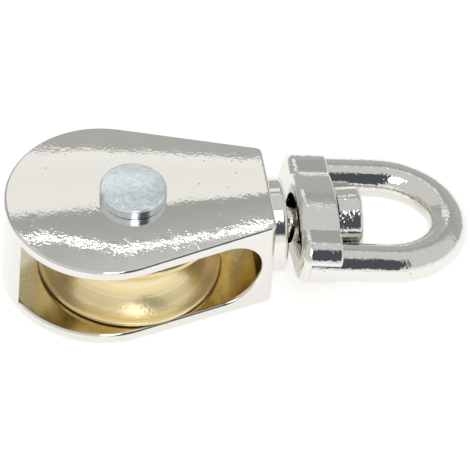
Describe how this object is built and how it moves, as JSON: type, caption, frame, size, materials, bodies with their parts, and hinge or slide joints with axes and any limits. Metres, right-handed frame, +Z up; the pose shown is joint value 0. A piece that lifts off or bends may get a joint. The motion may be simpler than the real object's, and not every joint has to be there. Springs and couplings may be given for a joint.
{
  "type": "swivel eye pulley block",
  "caption": "Small pulley block: a grooved brass sheave on a rivet in a teardrop die-cast housing, with a swivelling D-shaped eye on a headed pin.",
  "frame": {"origin": "middle of the flat of the rivet's lower head, on the sheave's axis, where the block rests", "axes": "+Z up along the sheave's axis, +X from the sheave towards the swivel eye, +Y across the cheeks"},
  "size_m": [0.0821, 0.0348, 0.0231],
  "materials": {
    "plated_casting": "nickel plate on a zinc die casting, soft orange peel",
    "sheave_brass": "turned, bright",
    "rivet_steel": "zinc plated, matte",
    "pin_steel": "nickel plated steel",
    "plated_eye": "nickel plate on a zinc die casting"
  },
  "bodies": {
    "housing": {"housing": "plated_casting", "axle_rivet": "rivet_steel"},
    "sheave": {"sheave": "sheave_brass"},
    "swivel_pin": {"swivel_pin": "pin_steel"},
    "swivel_eye": {"swivel_eye": "plated_eye"}
  },
  "joints": [
    {"name": "sheave_spin", "type": "hinge", "parent": "housing", "child": "sheave", "pos_m": [0, 0, 0.01105], "axis": [0, 0, 1], "continuous": true},
    {"name": "pin_rock", "type": "hinge", "parent": "housing", "child": "swivel_pin", "pos_m": [0.02415, 0, 0.01105], "axis": [0, -1, 0], "range_deg": [0, 3]},
    {"name": "eye_swivel", "type": "hinge", "parent": "swivel_pin", "child": "swivel_eye", "pos_m": [0.02415, 0, 0.01105], "axis": [0.9997, 0, -0.0262], "continuous": true}
  ]
}
